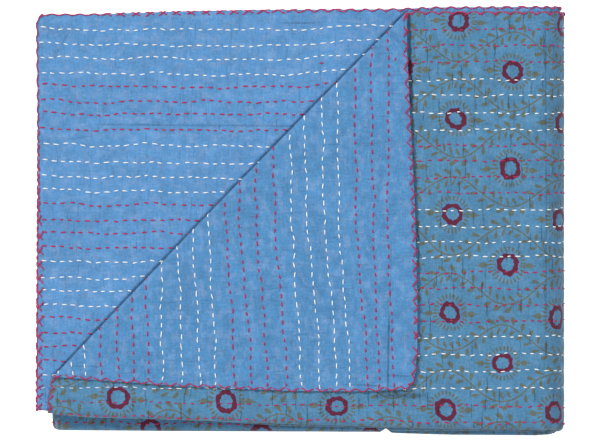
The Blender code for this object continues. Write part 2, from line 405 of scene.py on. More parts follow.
def front_slant(x, y):
    """How far the front fold runs askew to the weave at a flat point, with no stretch of the cloth.

    It grows in before the first front bend and before the last, and fades away between them.
    """
    near, far = FRONT_FADE
    slant = 0.0
    for down, way in ((y, 1.0), (far_line() - y, -1.0)):
        grown = smooth_step((down - near) / (far - near))
        slant = slant + way * grown * (1.0 - smooth_step((down - SECOND_REACH) / SLANT_FADES))
    return read_table(x, FRONT_EDGE, 1) * slant


def far_line():
    """The flat y of cloth that the first fold lays level with the packet's top line."""
    _, start, layers = FOLDS["width_half"]
    return 2 * start + pi * radius_of(layers)


def plan_rows():
    """Every row of quilting: its thread and its distance from the top edge at three places."""
    second = [far_line() - place for place in SECOND_ROWS]
    start = TOP_ROWS[-1][2] + ROW_STEP
    count = round((second[-1] - start) / ROW_STEP)
    step = (second[-1] - start) / count
    near = [*TOP_ROWS, *[(start + step * number,) * 3 for number in range(count)]]
    near = [
        (("magenta", "white")[(number + FIRST_GROUP_LACKS) // ROWS_IN_GROUP % 2], places)
        for number, places in enumerate(near)
    ]
    far = [
        (("white", "magenta")[number // ROWS_IN_GROUP % 2], (place,) * 3)
        for number, place in enumerate(second)
    ]
    return near + far[::-1]


ROWS = plan_rows()
row_dice = np.random.default_rng(31)
row_phase = row_dice.uniform(0.0, 2 * pi, (len(ROWS), len(ROW_WANDER)))


def row_line(number, x):
    """The flat y of a row at each x: its places in the table, a slow wander, less the slant.

    The slant depends on y too, so it is taken off over and over until y settles.
    """
    line = np.interp(x, TOP_ROW_PLACES, ROWS[number][1])
    for (size, length), phase in zip(ROW_WANDER, row_phase[number]):
        line = line + size * np.sin(2 * pi * x / length + phase)
    if far_line() - ROWS[number][1][0] < SECOND_REACH:
        line = line - read_table(x, SECOND_DRIFT)
    y = line
    for _ in range(6):
        y = line - front_slant(x, y)
    return y


def unfold(sheet, along, down):
    """The flat place of a point on a named sheet of the packet."""
    if sheet == "second":
        return along, far_line() - down
    if sheet == "print":
        return along, down
    run, past = along_crease(along, down)
    return beside_crease(run, pi * CREASE_RADIUS - past)


def flat_creases():
    """Each crease's two flat ends, its depth and its half width."""
    return [
        (unfold(sheet, *places[:2]), unfold(sheet, *places[2:]), depth, half)
        for sheet, *places, depth, half in CREASES
    ]


def fold_mark(x, y):
    """How deep the turned-back corner's fold presses into the second layer: a bell across it, also painted
    as shade.
    """
    down = far_line() - y
    run, past = along_crease(x, down)
    aside = past - (CREASE_RADIUS + SKIN_BETWEEN + crease_bow(run) + FOLD_MARK_OUT)
    near, far = FOLD_MARK_ENDS
    under = smooth_step((x - near) / (far - near)) * (down < FOLDS["width_quarter"][1])
    return FOLD_MARK * under * np.exp(-((aside / FOLD_MARK_HALF) ** 2))


def beside_line(x, y, start, end):
    """How far a point lies along a straight line and aside from it, the line's length and direction."""
    length = hypot(end[0] - start[0], end[1] - start[1])
    ahead = ((end[0] - start[0]) / length, (end[1] - start[1]) / length)
    along = (x - start[0]) * ahead[0] + (y - start[1]) * ahead[1]
    aside = (x - start[0]) * ahead[1] - (y - start[1]) * ahead[0]
    return along, aside, length, ahead


def crease_depth(x, y):
    """How deep the creases press in: a bell of the distance to each one's line, which make_panel also paints
    as shade.
    """
    total = fold_mark(x, y)
    for start, end, depth, half in flat_creases():
        along, aside, length, _ = beside_line(x, y, start, end)
        over = np.maximum(np.maximum(-along, along - length), 0.0)
        total = total + depth * np.exp(-((aside / half) ** 2) - (over / (3 * half)) ** 2)
    return total


def edge_distance(x, y):
    """How far a flat point lies inside the hand-cut outline."""
    across = np.minimum(x - read_table(y, LEFT_EDGE), LENGTH - read_table(y, RIGHT_EDGE) - x)
    down = np.minimum(y - read_table(x, TOP_EDGE), WIDTH - read_table(x, FAR_EDGE) - y)
    return np.minimum(across, down)


def skin_height(x, y):
    """The outer face's height over the throw's middle.

    It is SKIN_BETWEEN, drawn down by a bell round each row, with a lumpy filling of crossed
    waves, and rolled down in a quarter circle at the edge.
    """
    nearest = np.full(np.shape(x), 1.0)
    for number in range(len(ROWS)):
        nearest = np.minimum(nearest, np.abs(y - row_line(number, x)))
    drawn = np.exp(-((nearest / ROW_DRAW) ** 2))
    lumps = np.sin(x * 410 + 3 * np.sin(y * 150)) * np.sin(y * 330 + 2 * np.sin(x * 190))
    lumps = lumps + 0.6 * np.sin(x * 160 + y * 90 + 2 * np.sin(y * 60))
    height = SKIN_BETWEEN + (SKIN_AT_ROW - SKIN_BETWEEN) * drawn
    height = height - (SKIN_BETWEEN - SKIN_AT_ROW) * LUMPS_TAKE * (1.0 - drawn) * (1.0 + lumps / 1.6)
    height = np.maximum(height - crease_depth(x, y), SKIN_IN_CREASE)
    rolled = np.sqrt(np.clip(1.0 - (1.0 - np.clip(edge_distance(x, y) / EDGE_ROLL, 0, 1)) ** 2, 0, 1))
    return SKIN_AT_EDGE + (height - SKIN_AT_EDGE) * rolled


def net_lines(half, quarter, whole, shown, coarse, far, bends):
    """The net's lines in one direction, spread evenly in each stretch of flat cloth and each bend.

    shown is (end, spacing) of the part that shows, far the spacing of the last quarter and bends
    the spacings in the quarter's bends and in the half's.
    """
    _, half_start, half_layers = FOLDS[half]
    _, quarter_start, quarter_layers = FOLDS[quarter]
    half_turn = pi * radius_of(half_layers)
    quarter_turn = pi * radius_of(quarter_layers)
    mirror = 2 * half_start + half_turn
    spans = (
        shown,
        (quarter_start, coarse if shown[0] < quarter_start - coarse else shown[1]),
        (quarter_start + quarter_turn, bends[0]),
        (half_start, coarse),
        (half_start + half_turn, bends[1]),
        (mirror - quarter_start - quarter_turn, coarse),
        (mirror - quarter_start, bends[0]),
        (whole, far),
    )
    places = [0.0]
    for end, spacing in spans:
        count = max(1, round((end - places[-1]) / spacing))
        places.extend(np.linspace(places[-1], end, count + 1)[1:].tolist())
    return np.unique(places)


NOTCH_AT = (0.251, 0.253, 0.255, 0.257, 0.259)


def add_notch_lines(places):
    """Adds net lines across the notch in the lower bundles' front folds."""
    _, half, half_layers = FOLDS["length_half"]
    _, quarter, quarter_layers = FOLDS["length_quarter"]
    lowest = 2 * quarter + pi * radius_of(quarter_layers)
    third = 2 * half + pi * radius_of(half_layers) - lowest
    notch = np.array(NOTCH_AT)
    return np.unique(np.concatenate((places, lowest - notch, third + notch)))


def cut_near(net, start, end, reach, offsets):
    """Cuts the faces within reach of a flat segment, along lines beside it at the given offsets."""
    faces = list(net.faces)
    x, y, _ = np.array([face.calc_center_median() for face in faces]).T
    along, aside, length, ahead = beside_line(x, -y, start, end)
    near = (np.abs(aside) < reach) & (along > -reach) & (along < length + reach)
    chosen = [faces[index] for index in np.flatnonzero(near)]
    cut = [*chosen, *{part for face in chosen for part in (*face.verts, *face.edges)}]
    for offset in offsets:
        origin = (start[0] + ahead[1] * offset, ahead[0] * offset - start[1], 0.0)
        normal = (ahead[1], ahead[0], 0.0)
        cut = bmesh.ops.bisect_plane(net, geom=cut, dist=1e-6, plane_co=origin, plane_no=normal)["geom"]


CUT_REACH = 0.012  # faces so near the corner's fold are cut along it
BEND_CUTS = 8
BEND_ENDS = 0.0022  # one more cut lies this far outside either end of the bend
CREASE_CUTS = (-2.0, -1.2, -0.6, 0.0, 0.6, 1.2, 2.0)  # in half widths of the crease
CREASE_CUT_REACH = 0.004  # and two half widths more


def flat_net(along_lines, across_lines):
    """A net over the flat throw, from the spacings of its lines in both directions.

    Gives its points' (x, y), its faces and its rim.
    It is cut along the bend of the corner's fold, the mark that this makes under it, and the creases.
    """
    us = add_notch_lines(net_lines("length_half", "length_quarter", LENGTH, *along_lines))
    vs = net_lines("width_half", "width_quarter", WIDTH, *across_lines)
    u, v = np.meshgrid(us, vs, indexing="ij")
    x, y = hand_cut(u.ravel(), v.ravel())
    number = np.arange(u.size).reshape(u.shape)
    cells = np.stack((number[:-1, 1:], number[1:, 1:], number[1:, :-1], number[:-1, :-1]), axis=-1)
    mesh = bpy.data.meshes.new("net")
    mesh.from_pydata(np.stack((x, -y, np.zeros_like(x)), axis=1).tolist(), [], cells.reshape(-1, 4).tolist())
    net = bmesh.new()
    net.from_mesh(mesh)
    turn = pi * CREASE_RADIUS
    bend = (-BEND_ENDS, *np.linspace(0.0, turn, BEND_CUTS), turn + BEND_ENDS)
    cut_near(net, (0.0, CREASE_DOWN_LEFT), (CREASE_ALONG_TOP, 0.0), CUT_REACH, bend)
    inner = CREASE_RADIUS + SKIN_BETWEEN - FOLD_MARK_HALF
    mark = np.arange(inner, inner + CREASE_BOW + 4 * FOLD_MARK_HALF, 0.7 * FOLD_MARK_HALF)
    cut_near(net, (CREASE_ALONG_TOP, far_line()), (0.0, far_line() - CREASE_DOWN_LEFT), CUT_REACH, mark)
    for start, end, _, half in flat_creases():
        cut_near(net, start, end, CREASE_CUT_REACH + 2 * half, half * np.array(CREASE_CUTS))
    bmesh.ops.triangulate(net, faces=[face for face in net.faces if len(face.verts) > 4])
    net.verts.index_update()
    faces = [[vert.index for vert in face.verts] for face in net.faces]
    rim = [
        (edge.link_loops[0].vert.index, edge.link_loops[0].link_loop_next.vert.index)
        for edge in net.edges
        if edge.is_boundary
    ]
    net.to_mesh(mesh)
    net.free()
    points = np.empty(3 * len(mesh.vertices), dtype=np.float32)
    mesh.vertices.foreach_get("co", points)
    bpy.data.meshes.remove(mesh)
    return points.reshape(-1, 3)[:, :2].astype(float) * (1.0, -1.0), faces, rim


def add_object(name, mesh, material):
    """Puts a finished mesh into the scene as one named piece."""
    mesh.materials.append(material)
    piece = bpy.data.objects.new(name, mesh)
    bpy.context.scene.collection.objects.link(piece)
    return piece


PRINT_CREEP = (0.0014, 0.0055)  # the block printing runs this much askew past the top layer
PRINT_CREEP_GROWS = (0.45, 0.3)  # from this place along the throw, over this length
# the painted shadow under an upper fold fades out over this distance
TUCK_SHADOW_FADE = 0.0013  # a lower fold is darkened this far out from under the fold above


def tuck_shadow(x, y, laid):
    """Painted shadow: 1 where a lower bundle's front fold comes out from under the one above, and 0 further
    out.

    It falls off as a bell of how far the laid point stands out past the upper bundle's fold.
    """
    _, start, layers = FOLDS["width_quarter"]
    _, _, z = fold_all(x, y, np.zeros_like(x))
    bundle = np.clip(np.round((-z / PITCH - (BUNDLE - 1) / 2) / BUNDLE), 0, LAYERS // BUNDLE - 1)
    along, down = laid[:, 0] + MIDDLE_ALONG, MIDDLE_DOWN - laid[:, 1]
    above = np.maximum(bundle.astype(int) - 1, 0)
    upper = np.choose(above, [read_table(along, FRONT_EDGE, 1 + row) for row in range(LAYERS // BUNDLE)])
    out = down - (start + radius_of(layers) + SKIN_BETWEEN + upper)
    return (bundle > 0) * (down > start) * np.exp(-((np.maximum(out, 0.0) / TUCK_SHADOW_FADE) ** 2))


def make_panel(name, side, net, material):
    """One panel as a thin closed sheet. side is 1 for the printed face and -1 for the plain back."""
    points, faces, rim = net
    x, y = points.T
    count = len(points)
    skin = skin_height(x, y)
    inside = np.maximum(skin - CLOTH, PANEL_CLEAR)
    upper, lower = (skin, inside) if side > 0 else (-inside, -skin)
    laid = np.concatenate((lay(x, y, upper), lay(x, y, lower)))
    laid[:, 2] = np.maximum(laid[:, 2], 0.0)
    above = [tuple(face) for face in faces]
    below = [tuple(corner + count for corner in reversed(face)) for face in faces]
    edge = [(end, start, start + count, end + count) for start, end in rim]
    mesh = bpy.data.meshes.new(name)
    mesh.from_pydata(laid.tolist(), [], above + below + edge)
    corner_of = np.empty(len(mesh.loops), dtype=np.int32)
    mesh.loops.foreach_get("vertex_index", corner_of)
    past_top = smooth_step((x - PRINT_CREEP_GROWS[0]) / PRINT_CREEP_GROWS[1])
    drawn_x = x - PRINT_CREEP[0] * past_top
    drawn_y = y + front_slant(x, y) + PRINT_CREEP[1] * past_top
    drawn = np.stack((drawn_x / LENGTH, drawn_y / WIDTH), axis=1)
    flat = mesh.uv_layers.new(name="flat_cloth")
    flat.uv.foreach_set("vector", np.tile(drawn, (2, 1))[corner_of].astype(np.float32).ravel())
    # Painted shade: darkening by the creases' depth and by the shadow where a lower fold comes out from
    # under the one above, carried to the material as a mesh attribute
    painted_shade = mesh.attributes.new("painted_shade", "FLOAT", "POINT")
    darker = crease_depth(x, y) / FULL_SHADE_DEPTH + tuck_shadow(x, y, laid[:count])
    painted_shade.data.foreach_set("value", np.tile(darker, 2).astype(np.float32))
    mesh.shade_smooth()
    mesh.set_sharp_from_angle(angle=radians(55))
    return add_object(name, mesh, material)


class Sum:
    """A number that the shader works out at each spot. Sums of it are written as plain sums."""

    def __init__(self, tree, socket):
        self.tree, self.socket = tree, socket

    def step(self, operation, *others):
        """The result of one Math node on this number and the others."""
        node = self.tree.nodes.new("ShaderNodeMath")
        node.operation = operation
        for socket, value in zip(node.inputs, (self, *others)):
            if isinstance(value, Sum):
                self.tree.links.new(value.socket, socket)
            else:
                socket.default_value = value
        return Sum(self.tree, node.outputs[0])

    def __add__(self, other):
        return self.step("ADD", other)

    def __sub__(self, other):
        return self.step("SUBTRACT", other)

    def __mul__(self, other):
        return self.step("MULTIPLY", other)

    def __truediv__(self, other):
        return self.step("DIVIDE", other)

    def __neg__(self):
        return self.step("MULTIPLY", -1.0)

    def inked(self, softness):
        """1 where this is over 0 and 0 where it is under, blurred over softness."""
        return (self / softness + 0.5).step("MAXIMUM", 0.0).step("MINIMUM", 1.0)


def new_group(name, inputs, outputs):
    """An empty shader node group with named sockets, and its input and output nodes."""
    group = bpy.data.node_groups.new(name, "ShaderNodeTree")
    for label, kind in inputs:
        group.interface.new_socket(label, in_out="INPUT", socket_type=kind)
    for label, kind in outputs:
        group.interface.new_socket(label, in_out="OUTPUT", socket_type=kind)
    return group, group.nodes.new("NodeGroupInput"), group.nodes.new("NodeGroupOutput")


def split_place(group, socket):
    """The x and y of a flat place, as two sums."""
    parts = group.nodes.new("ShaderNodeSeparateXYZ")
    group.links.new(socket, parts.inputs[0])
    return Sum(group, parts.outputs[0]), Sum(group, parts.outputs[1])


def join_place(x, y):
    """A vector from two sums."""
    node = x.tree.nodes.new("ShaderNodeCombineXYZ")
    x.tree.links.new(x.socket, node.inputs[0])
    x.tree.links.new(y.socket, node.inputs[1])
    return node.outputs[0]


def add_noise(group, vector, scale, detail=2.0, roughness=0.5):
    """Soft noise from about 0 to 1, in two dimensions."""
    noise = group.nodes.new("ShaderNodeTexNoise")
    noise.noise_dimensions = "2D"
    group.links.new(vector, noise.inputs["Vector"])
    noise.inputs["Scale"].default_value = scale
    noise.inputs["Detail"].default_value = detail
    noise.inputs["Roughness"].default_value = roughness
    return Sum(group, noise.outputs["Fac"])


def drawn_noise(x, y, across, down, detail=2.0, roughness=0.5):
    """Soft noise with its own scale in each direction."""
    return add_noise(x.tree, join_place(x * across, y * down), 1.0, detail, roughness)


def make_weave():
    """Hand-loomed muslin: threads that run both ways, some of them thick, over soft cloudy dye.

    Each set of threads is noise drawn out along it. Height is the two sets together, Tone is how
    much lighter or darker the dye has taken, and Fleck is where undyed lint shows.
    """
    group, given, out = new_group(
        "muslin_weave",
        [("Place", "NodeSocketVector")],
        [("Height", "NodeSocketFloat"), ("Tone", "NodeSocketFloat"), ("Fleck", "NodeSocketFloat")],
    )
    x, y = split_place(group, given.outputs["Place"])
    warp = drawn_noise(x, y, 110.0, 1300.0, 1.0)
    weft = drawn_noise(x, y, 1300.0, 110.0, 1.0)
    thick_warp = drawn_noise(x, y, 34.0, 640.0, 1.0)
    thick_weft = drawn_noise(x, y, 640.0, 34.0, 1.0)
    cloud = add_noise(group, join_place(x, y), 105.0, 3.0, 0.62)
    grain = add_noise(group, join_place(x, y), 620.0, 2.0, 0.6)
    lint = drawn_noise(x, y, 120.0, 170.0, 2.0, 0.6)
    threads = warp + weft
    slubs = thick_warp + thick_weft
    height = threads * 0.5 + slubs * 0.4 + grain * 0.3
    wash = add_noise(group, join_place(x * 26.0 + 5.0, y * 34.0), 1.0, 2.0)
    tone = (threads - 1.0) * 0.34 + (slubs - 1.0) * 0.13
    tone = tone + (cloud - 0.5) * 0.62 + (grain - 0.5) * 0.70 + (wash - 0.5) * 0.30
    group.links.new(height.socket, out.inputs["Height"])
    group.links.new(tone.socket, out.inputs["Tone"])
    group.links.new((lint - 0.58).inked(0.22).socket, out.inputs["Fleck"])
    return group


NICK_CELL = (0.0085, 0.0140)  # across and down
NICK_HALF = 0.00062
NICK_SHARE = 0.36  # of the cells that hold a nick
NICK_COLUMN_DROP = 0.37  # each column of cells lies this part of a cell lower
NICK_WAVER = 0.0016


def make_crinkle():
    """Washed cotton's crinkles: soft puckers across the rows of quilting, and fine nicks.

    The cloth is parted into small cells, staggered from column to column. Some of them hold a nick,
    a thin wavering line down the cell at a place across it that dice give. A nick dents the bump, and Shade
    paints shade along it.
    """
    group, given, out = new_group(
        "washed_crinkle",
        [("Place", "NodeSocketVector")],
        [("Height", "NodeSocketFloat"), ("Shade", "NodeSocketFloat")],
    )
    x, y = split_place(group, given.outputs["Place"])
    pucker = drawn_noise(x, y, 230.0, 80.0, 2.0, 0.55)
    swell = drawn_noise(x, y, 60.0, 48.0)
    column = x / NICK_CELL[0]
    down = y / NICK_CELL[1] + column.step("FLOOR") * NICK_COLUMN_DROP
    dice = group.nodes.new("ShaderNodeTexWhiteNoise")
    dice.noise_dimensions = "2D"
    group.links.new(join_place(column.step("FLOOR"), down.step("FLOOR")), dice.inputs["Vector"])
    place, chance = split_place(group, dice.outputs["Color"])
    waver = drawn_noise(x, y, 60.0, 210.0, 1.0) - 0.5
    aside = (column.step("FRACT") - place * 0.6 - 0.2) * NICK_CELL[0] + waver * NICK_WAVER
    nick = (-aside.step("ABSOLUTE") / NICK_HALF + 1.0).step("MAXIMUM", 0.0)
    nick = nick * (-(down.step("FRACT") - 0.5).step("ABSOLUTE") + 0.38).inked(0.24)
    # The nicks dent the bump and, through Shade, are painted darker as shade
    crease = nick * (chance - (1.0 - NICK_SHARE)).inked(0.2)
    height = pucker * 0.5 + swell * 0.9 - crease * 0.25
    group.links.new(height.socket, out.inputs["Height"])
    group.links.new(crease.socket, out.inputs["Shade"])
    return group


MM = 1000.0
RING_AT = (303.5, 148.6)  # a ring's middle on the top layer, in millimetres
REPEAT_ALONG = (80.3, 2.7)  # from one ring to the next in its row
REPEAT_DOWN = (-2.4, 70.8)  # and in its column
BLOCK_STRAYS = 5.0  # from one side of its place to the other
LOBES = 8
LOBE_FROM_MIDDLE = 6.4
LOBE_HALF = 2.05
BAND_FROM_MIDDLE = 6.3  # the band that joins the lobes
BAND_HALF = 1.45
DASHES = 27
DASH_FROM_MIDDLE = 11.8
DASH_HALF_LONG = 2.0
DASH_HALF_WIDE = 0.74
DASH_WIDENS = (12.0, 0.12)  # from so far out, by this much for each millimetre
BUD_FROM_MIDDLE = 16.5
BUD_HALF = (2.6, 2.1)
STEM_ENDS = (8.4, 21.5)
STEM_HALF = 0.42
VINE_SWING = 10.6
VINE_HALF = 0.56
LEAVES_IN_REPEAT = 13
LEAF_LEAN = 0.62  # radians from square to the vine
LEAF_STARTS = 0.8  # from the middle of the vine
LEAF_LONG = 6.6
LEAF_WIDEST = 2.8
LEAVES_CLEAR = 14.3  # of a ring's middle
INK_EDGE = 0.3  # how far the ink's edge is blurred


def make_block_print():
    """The block print: rings of eight lobes in a half-drop repeat, rayed with dashes, each with a
    bud at its left and right, between vines that are sine waves with teardrop leaves.

    All is measured in millimetres from the nearest ring, or from the nearest vine.
    """
    group, given, out = new_group(
        "block_print",
        [("Place", "NodeSocketVector")],
        [("Ring", "NodeSocketFloat"), ("Vine", "NodeSocketFloat")],
    )
    x, y = split_place(group, given.outputs["Place"])
    x = x * MM
    y = y * MM
    stray = add_noise(group, join_place(x, y), 0.024, 1.0)
    stray_down = add_noise(group, join_place(x + 400.0, y), 0.024, 1.0)
    x = x + (stray - 0.5) * BLOCK_STRAYS - RING_AT[0]
    y = y + (stray_down - 0.5) * BLOCK_STRAYS - RING_AT[1]
    across, down = REPEAT_ALONG[0], REPEAT_DOWN[1]
    area = across * down - REPEAT_ALONG[1] * REPEAT_DOWN[0]
    s = (x * down - y * REPEAT_DOWN[0]) / area
    t = (y * across - x * REPEAT_ALONG[1]) / area

    # The nearest ring is the nearer of two, a half repeat apart both ways
    near = []
    for shift in (0.5, 0.0):
        dx = ((s + shift).step("FRACT") - 0.5) * across
        dy = ((t + shift).step("FRACT") - 0.5) * down
        near.append((dx, dy, (dx * dx + dy * dy).step("SQRT")))
    second = near[1][2].step("LESS_THAN", near[0][2])
    dx = near[0][0] + (near[1][0] - near[0][0]) * second
    dy = near[0][1] + (near[1][1] - near[0][1]) * second
    r = near[0][2].step("MINIMUM", near[1][2])
    angle = dy.step("ARCTAN2", dx)
    rough = add_noise(group, join_place(x, y), 0.9, 2.0, 0.6) - 0.5

    wobble = add_noise(group, join_place(x, y), 0.11, 1.0) - 0.5
    out_of_round = r + wobble * 2.6
    lobe = ((angle * (LOBES / (2 * pi)) + wobble).step("FRACT") - 0.5) * (2 * pi / LOBES * LOBE_FROM_MIDDLE)
    beyond = out_of_round - LOBE_FROM_MIDDLE
    lobe_gap = (lobe * lobe + beyond * beyond).step("SQRT")
    band = -(out_of_round - BAND_FROM_MIDDLE).step("ABSOLUTE") + BAND_HALF
    ring = (-lobe_gap + LOBE_HALF).step("MAXIMUM", band) + rough * 0.8
    ring = ring.inked(INK_EDGE)

    ray = ((angle * (DASHES / (2 * pi))).step("FRACT") - 0.5) * r * (2 * pi / DASHES)
    ray = ray / ((r - DASH_WIDENS[0]) * DASH_WIDENS[1] + DASH_HALF_WIDE)
    beyond = (r - DASH_FROM_MIDDLE) / DASH_HALF_LONG
    ray = ray * ray + beyond * beyond
    dash = (-ray + 1.0).inked(0.35)

    side = dx.step("ABSOLUTE")
    bud_x, bud_y = (side - BUD_FROM_MIDDLE) / BUD_HALF[0], dy / BUD_HALF[1]
    bud = bud_x * bud_x + bud_y * bud_y
    bud = (-bud + 1.0 + rough * 0.8).inked(INK_EDGE)
    stem = (-dy.step("ABSOLUTE") + STEM_HALF).inked(INK_EDGE)
    stem = stem * (side - STEM_ENDS[0]).inked(INK_EDGE) * (-side + STEM_ENDS[1]).inked(INK_EDGE)

    row = t * 2.0
    odd = (row * 0.5).step("FRACT").step("GREATER_THAN", 0.5)
    swing = odd * 2.0 - 1.0
    phase = s * (2 * pi)
    wave = phase.step("COSINE") * swing * VINE_SWING
    slope = phase.step("SINE") * swing * (-VINE_SWING * 2 * pi / across)
    stretch = (slope * slope + 1.0).step("SQRT")
    off = ((row.step("FRACT") - 0.5) * (down / 2) + wave) / stretch
    foot = s - off * slope / (stretch * across)
    vine = (-off.step("ABSOLUTE") + VINE_HALF + rough * 0.25).inked(INK_EDGE)

    away = off.step("ABSOLUTE")
    above = off.step("GREATER_THAN", 0.0)
    leaf_cell = (foot * LEAVES_IN_REPEAT + above * 0.5).step("FRACT") - 0.5
    along = leaf_cell * stretch * (across / LEAVES_IN_REPEAT) - 1.5
    cos, sin = np.cos(LEAF_LEAN), np.sin(LEAF_LEAN)
    reach = away * float(cos) - along * float(sin)
    aside = away * float(sin) + along * float(cos) - 0.2
    share = ((reach - LEAF_STARTS) / LEAF_LONG).step("MAXIMUM", 0.0).step("MINIMUM", 1.0)
    half = share * (-share * share + 1.0).step("MAXIMUM", 0.0).step("SQRT") * LEAF_WIDEST
    leaf = (half - aside.step("ABSOLUTE") + rough * 0.5 - 0.1).inked(INK_EDGE)
    clear = (r - LEAVES_CLEAR).inked(INK_EDGE)

    olive = dash.step("MAXIMUM", bud).step("MAXIMUM", stem).step("MAXIMUM", vine)
    olive = olive.step("MAXIMUM", leaf * clear)
    worn = add_noise(group, join_place(x, y), 1.6, 2.0, 0.7)
    olive = olive * ((worn - 0.30) * 3.4).step("MAXIMUM", 0.70).step("MINIMUM", 1.0)
    group.links.new(ring.socket, out.inputs["Ring"])
    group.links.new(olive.socket, out.inputs["Vine"])
    return group


WEAVE = make_weave()
CRINKLE = make_crinkle()
BLOCK_PRINT = make_block_print()


def add_group(tree, group, place):
    """Places a node group in a material and feeds it the flat place."""
    node = tree.nodes.new("ShaderNodeGroup")
    node.node_tree = group
    tree.links.new(place, node.inputs["Place"])
    return node


def mix_colour(tree, share, first, second):
    """A colour between two, by a share from 0 to 1."""
    mix = tree.nodes.new("ShaderNodeMix")
    mix.data_type = "RGBA"
    tree.links.new(share, mix.inputs["Factor"])
    for socket, value in ((mix.inputs["A"], first), (mix.inputs["B"], second)):
        if isinstance(value, tuple):
            socket.default_value = (*value, 1.0)
        else:
            tree.links.new(value, socket)
    return mix.outputs["Result"]


def start_material(name, roughness, specular, sheen=0.0):
    """A material, its node tree and its surface shader."""
    material = bpy.data.materials.new(name)
    material.use_nodes = True
    surface = material.node_tree.nodes["Principled BSDF"]
    surface.inputs["Roughness"].default_value = roughness
    surface.inputs["Specular IOR Level"].default_value = specular
    surface.inputs["Sheen Weight"].default_value = sheen
    return material, material.node_tree, surface


def add_bump(tree, height, distance, strength):
    """A bump from a height that the shader works out, so many metres deep."""
    bump = tree.nodes.new("ShaderNodeBump")
    bump.inputs["Distance"].default_value = distance
    bump.inputs["Strength"].default_value = strength
    tree.links.new(height, bump.inputs["Height"])
    return bump


def start_cotton(name):
    """A cotton material: its node tree, surface shader and flat place in metres."""
    material, tree, surface = start_material(name, 0.92, 0.18, 0.12)
    surface.inputs["Sheen Roughness"].default_value = 0.6
    uv = tree.nodes.new("ShaderNodeUVMap")
    uv.uv_map = "flat_cloth"
    scale = tree.nodes.new("ShaderNodeVectorMath")
    scale.operation = "MULTIPLY"
    scale.inputs[1].default_value = (LENGTH, WIDTH, 1.0)
    tree.links.new(uv.outputs["UV"], scale.inputs[0])
    return material, tree, surface, scale.outputs[0]


LINT = (0.215, 0.300, 0.480)
# at full strength, the painted shade of the creases, the corner's fold mark and the tucks makes the dye this
# much darker
PAINTED_SHADE_DARKER = 0.42
WEAVE_BUMP = (0.00012, 0.5)  # depth and strength
CRINKLE_BUMP = (0.0011, 0.75)


def show_lint(tree, place, share, dyed):
    """Lets some undyed lint show in a dyed ground."""
    fleck = Sum(tree, add_group(tree, WEAVE, place).outputs["Fleck"]) * share
    return mix_colour(tree, fleck.socket, dyed, LINT)


def finish_cotton(tree, surface, place, dyed, tone_depth, nick_shade_depth):
    """Gives a cotton its weave and crinkles: a tone over the dyed colour, a bump of each, and painted shade
    in the nicks, creases and tucks.
    """
    weave = add_group(tree, WEAVE, place)
    crinkle = add_group(tree, CRINKLE, place)
    tone = Sum(tree, weave.outputs["Tone"]) * tone_depth
    shade = Sum(tree, crinkle.outputs["Shade"]) * nick_shade_depth
    # Painted shade: the crinkles' nicks and the mesh's attribute of creases and tucks darken the dyed colour
    painted_shade = tree.nodes.new("ShaderNodeAttribute")
    painted_shade.attribute_name = "painted_shade"
    shade = shade + Sum(tree, painted_shade.outputs["Fac"]) * PAINTED_SHADE_DARKER
    value = (tone - shade + 1.0).step("MAXIMUM", 0.2)
    bright = tree.nodes.new("ShaderNodeHueSaturation")
    tree.links.new(value.socket, bright.inputs["Value"])
    tree.links.new(dyed, bright.inputs["Color"])
    tree.links.new(bright.outputs[0], surface.inputs["Base Color"])
    threads = add_bump(tree, weave.outputs["Height"], *WEAVE_BUMP)
    folds = add_bump(tree, crinkle.outputs["Height"], *CRINKLE_BUMP)
    tree.links.new(threads.outputs[0], folds.inputs["Normal"])
    tree.links.new(folds.outputs[0], surface.inputs["Normal"])


PRINT_GROUND = (0.057, 0.176, 0.306)
OLIVE_INK = (0.098, 0.090, 0.025)
MAROON_INK = (0.092, 0.003, 0.021)


def make_printed_cotton():
    """Blue muslin under olive and maroon block printing."""
    material, tree, surface, place = start_cotton("printed_cotton")
    inks = add_group(tree, BLOCK_PRINT, place)
    olive = Sum(tree, inks.outputs["Vine"]) * 0.97
    dyed = mix_colour(tree, olive.socket, show_lint(tree, place, 0.12, PRINT_GROUND), OLIVE_INK)
    ring = Sum(tree, inks.outputs["Ring"]) * 0.96
    dyed = mix_colour(tree, ring.socket, dyed, MAROON_INK)
    finish_cotton(tree, surface, place, dyed, 0.80, 0.56)
    return material


FACE_NET = (
    # along, then across: (end, spacing) of what shows, spacing elsewhere, at the far end, in the bends
    ((0.365, 0.0042), 0.020, 0.020, (0.0042, 0.0028)),
    ((0.300, 0.0024), 0.015, 0.015, (0.0013, 0.0007)),
)
face = make_panel("printed_face", 1, flat_net(*FACE_NET), make_printed_cotton())
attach(face, "root")
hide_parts("printed_face_panel")

# Plain back panel. The same cotton dyed a plain brighter blue and cut to the same size. It shows
# on the turned-back corner and on the second layer, where the corner no longer covers it.

PLAIN_BLUE = (0.073, 0.210, 0.418)
CORNER_BLUE = (0.061, 0.197, 0.392)  # the turned-back corner is a little darker
CORNER_DYE_ENDS = 0.40  # from the top edge


def make_plain_cotton():
    """Blue muslin with no print."""
    material, tree, surface, place = start_cotton("plain_cotton")
    cloud = add_noise(tree, place, 30.0, 2.0)
    dyed = mix_colour(tree, cloud.socket, PLAIN_BLUE, tuple(1.06 * part for part in PLAIN_BLUE))
    _, down = split_place(tree, place)
    at_corner = (-down + CORNER_DYE_ENDS).inked(0.10)
    dyed = mix_colour(tree, at_corner.socket, dyed, CORNER_BLUE)
    finish_cotton(tree, surface, place, show_lint(tree, place, 0.30, dyed), 0.70, 0.12)
    return material


